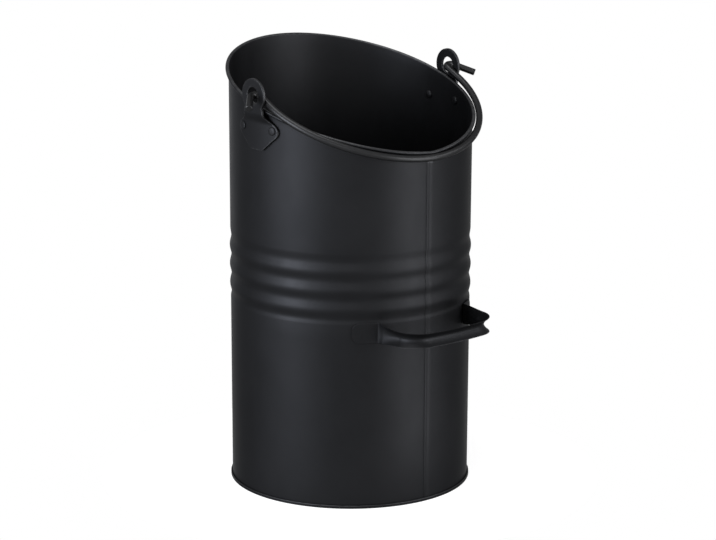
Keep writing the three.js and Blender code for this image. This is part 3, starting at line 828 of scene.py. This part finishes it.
def grip_plan():
    """Plan of the strip's inner face from the +X pad's end to the middle of the bar.

    Also gives the lengths along it at which the pad, the arm, the corner and this half end.
    """
    pad_radius = wall_radius(GRIP_Z) + SEAT_GAP
    around = arc(pad_radius, QUARTER - PAD_START, QUARTER - PAD_END, PAD_STEPS)
    pad = [Vector(p) for p in around]
    end = pad[-1]
    leave = end + Vector((-LEAVE_INSET, LEAVE_RISE))
    bend = quadratic(end, end + Vector((-BEND_INSET, BEND_RISE)), leave, LEAVE_STEPS)
    middle = Vector((0, pad_radius + GRIP_STANDOFF))
    corner_at = Vector((end.x - ARM_INSET, middle.y - GRIP_BAR_BOW)) - Vector((1, 1)) * GRIP_CORNER
    corner = [corner_at + Vector(p) for p in arc(GRIP_CORNER, 0, QUARTER, GRIP_CORNER_STEPS)]
    bar = quadratic(corner[-1], Vector((corner[-1].x / 2, middle.y)), middle, BAR_STEPS)
    plan, ends = [pad[0]], []
    for stretch in (pad, bend, [leave, corner[0]], corner, bar):
        plan += stretch[1:]
        ends.append(sum((b - a).length for a, b in zip(plan, plan[1:])))
    pad_end, _, arm_end, corner_end, half_length = ends
    return plan, pad_end, arm_end, corner_end, half_length


def walk(plan, s):
    """Place at s along the plan."""
    for a, b in zip(plan, plan[1:]):
        step = (b - a).length
        if s <= step or b is plan[-1]:
            return a.lerp(b, min(s / step, 1))
        s -= step


def heading(plan, s, half_length):
    """Direction at s along the plan, over a short chord, so that the bends show no facets."""
    before = walk(plan, max(s - HEADING_REACH, 0))
    ahead = s + HEADING_REACH
    if ahead > half_length:  # in the other half, which is a mirror image
        after = walk(plan, 2 * half_length - ahead) * Vector((-1, 1))
    else:
        after = walk(plan, ahead)
    return (after - before).normalized()


def strip_section():
    """Closed section of the sheet as (across, inset, t, share of lighter coat: rubbed wear and painted
    highlight), with fully rounded edges.
    """
    half_sheet = GRIP_SHEET / 2
    turns = [lerp(-QUARTER, QUARTER, i / STRIP_EDGE_STEPS) for i in range(STRIP_EDGE_STEPS + 1)]
    rounding = [(half_sheet * (1 - math.cos(a)), half_sheet * (1 + math.sin(a))) for a in turns]
    levels = [lerp(-1, 1, i / GRIP_ACROSS) for i in range(1, GRIP_ACROSS)]
    inner = [(across, half_sheet, 0, 0) for across in levels]
    upper = [(1, inset, t, STRIP_SHEEN_AND_WEAR) for inset, t in rounding]
    outer = [(-across, half_sheet, GRIP_SHEET, 0) for across in levels]
    lower = [(-1, inset, t, STRIP_SHEEN_AND_WEAR) for inset, t in reversed(rounding)]
    return inner + upper + outer + lower


def add_grip():
    """The strip: two flat pads with rounded ends, joined by arms and a bar with a channel."""
    plan, pad_end, arm_end, corner_end, half_length = grip_plan()
    start = [
        PAD_ROUND * (1 - math.cos(QUARTER * i / PAD_ROUND_STEPS)) for i in range(PAD_ROUND_STEPS)
    ]
    rest = [lerp(PAD_ROUND, half_length, i / GRIP_STATIONS) for i in range(GRIP_STATIONS + 1)]
    half = start + rest
    stations = [(s, 1) for s in half] + [(s, -1) for s in reversed(half[:-1])]
    section = strip_section()
    points, sheen_and_wear_share = [], []
    for s, side in stations:
        at, along = walk(plan, s), heading(plan, s, half_length)
        formed = smooth((s - pad_end + CHANNEL_LEAD) / CHANNEL_RUN)
        narrowed = smooth((s - pad_end) / (arm_end - pad_end))
        closed = smooth((s - arm_end) / (corner_end - arm_end))
        cut = PAD_ROUND - math.sqrt(PAD_ROUND**2 - max(PAD_ROUND - s, 0) ** 2)
        height = lerp(lerp(PAD_HALF, CORNER_HALF, narrowed), BAR_HALF, closed) - cut
        for across, inset, t, sheen_and_wear in section:
            level = across * (1 - inset / height)
            out = CHANNEL_DEPTH * formed * abs(level) ** CHANNEL_POWER + t
            x, y = at.x + along.y * out, at.y - along.x * out
            points.append((side * x, y, GRIP_Z - level * height))
            sheen_and_wear_share.append(sheen_and_wear * narrowed)
    rows = len(section)
    faces = grid_faces(len(stations), rows, False, True) + end_caps(len(points), rows)
    return add_piece(
        "grip_strip", points, faces, sheen_and_wear_share, COAT, "bucket", "rear_grip", CUT_SHARP
    )


# ---- The object ----
revolve(body_profile(), "shell_sheet", "body_shell", COAT)
revolve(base_profile(), "base_fold", "base_pan", COAT)
ear_angle = math.asin(EAR_Y / RIM_RADIUS)
for side_name, side in (("left", 1), ("right", -1)):
    add_ear(f"ear_{side_name}", side)
    add_rivet(f"rivet_{side_name}_front", ear_angle - RIVET_SPREAD, side)
    add_rivet(f"rivet_{side_name}_rear", ear_angle + RIVET_SPREAD, side)
add_bail()
add_grip()

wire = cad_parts["rim_wire"]
wire.data.materials.clear()
wire.data.materials.append(WIRE)


# ---- Studio ----
def seen_as(tree, plain, shown, output):
    """Shows one shader to the camera, glossy and transmission rays, and the plain one to the rest."""
    path = tree.nodes.new("ShaderNodeLightPath")
    either = path.outputs["Is Camera Ray"]
    for ray in ("Is Glossy Ray", "Is Transmission Ray"):
        most = tree.nodes.new("ShaderNodeMath")
        most.operation = "MAXIMUM"
        tree.links.new(either, most.inputs[0])
        tree.links.new(path.outputs[ray], most.inputs[1])
        either = most.outputs["Value"]
    mix = tree.nodes.new("ShaderNodeMixShader")
    tree.links.new(either, mix.inputs["Fac"])
    tree.links.new(plain, mix.inputs[1])
    tree.links.new(shown, mix.inputs[2])
    tree.links.new(mix.outputs["Shader"], output)


def add_table():
    """A round pale table. White is part of its colour to the camera, so only a soft shadow shows."""
    material = bpy.data.materials.new("pale_table")
    material.use_nodes = True
    tree = material.node_tree
    tree.nodes.remove(tree.nodes["Principled BSDF"])
    matte = tree.nodes.new("ShaderNodeBsdfDiffuse")
    matte.inputs["Color"].default_value = TABLE_GREY
    soft = tree.nodes.new("ShaderNodeBsdfDiffuse")
    soft.inputs["Color"].default_value = TABLE_SHADED
    white = tree.nodes.new("ShaderNodeEmission")
    white.inputs["Strength"].default_value = TABLE_WHITE
    both = tree.nodes.new("ShaderNodeAddShader")
    tree.links.new(soft.outputs["BSDF"], both.inputs[0])
    tree.links.new(white.outputs["Emission"], both.inputs[1])
    output = tree.nodes["Material Output"].inputs["Surface"]
    seen_as(tree, matte.outputs["BSDF"], both.outputs["Shader"], output)
    bpy.ops.mesh.primitive_circle_add(
        vertices=TABLE_SIDES, radius=TABLE_RADIUS, fill_type="NGON", location=(0, 0, -TABLE_DROP)
    )
    table = bpy.context.object
    table.name = "table"
    table.data.materials.append(material)


def add_world():
    """Plain white behind the object and in its reflections, and a dim even light on it."""
    world = bpy.data.worlds.new("studio")
    bpy.context.scene.world = world
    world.use_nodes = True
    tree = world.node_tree
    ambient = tree.nodes["Background"]
    ambient.inputs["Color"].default_value = WHITE
    ambient.inputs["Strength"].default_value = AMBIENT
    white = tree.nodes.new("ShaderNodeBackground")
    white.inputs["Color"].default_value = WHITE
    output = tree.nodes["World Output"].inputs["Surface"]
    seen_as(tree, ambient.outputs["Background"], white.outputs["Background"], output)


def direction(turn, rise):
    """Unit vector at an elevation, turned from the camera's direction."""
    a = math.atan2(CAMERA_AT.y, CAMERA_AT.x) + turn
    return Vector((math.cos(rise) * math.cos(a), math.cos(rise) * math.sin(a), math.sin(rise)))


def add_softbox(name, at, aim, width, height, watts, colour):
    data = bpy.data.lights.new(name, "AREA")
    data.shape = "RECTANGLE"
    data.size, data.size_y = width, height
    data.energy = watts
    data.color = colour
    box = bpy.data.objects.new(name, data)
    box.location = at
    box.rotation_mode = "QUATERNION"
    box.rotation_quaternion = (aim - at).to_track_quat("-Z", "Y")
    box.visible_camera = False
    bpy.context.scene.collection.objects.link(box)


def add_camera():
    """The photograph's view, with its slight roll."""
    data = bpy.data.cameras.new("camera")
    data.sensor_width = SENSOR
    data.lens = LENS
    camera = bpy.data.objects.new("camera", data)
    camera.location = CAMERA_AT
    camera.rotation_mode = "QUATERNION"
    roll = Quaternion((0, 0, 1), CAMERA_ROLL)
    camera.rotation_quaternion = CAMERA_AIM.to_track_quat("-Z", "Y") @ roll
    bpy.context.scene.collection.objects.link(camera)
    bpy.context.scene.camera = camera


add_table()
add_world()
add_camera()
for lamp, turn, middle, watts, colour in SIDE_LAMPS:
    centre = Vector((0, 0, middle))
    place = centre + direction(turn, 0) * SOFTBOX_DISTANCE
    add_softbox(lamp, place, centre, SOFTBOX_WIDTH, SOFTBOX_HEIGHT, watts, colour)
for lamp, turn, rise, distance, width, height, watts in HIGH_LAMPS:
    add_softbox(lamp, direction(turn, rise) * distance, AIM, width, height, watts, PLAIN)

bpy.context.scene.view_settings.view_transform = "Standard"
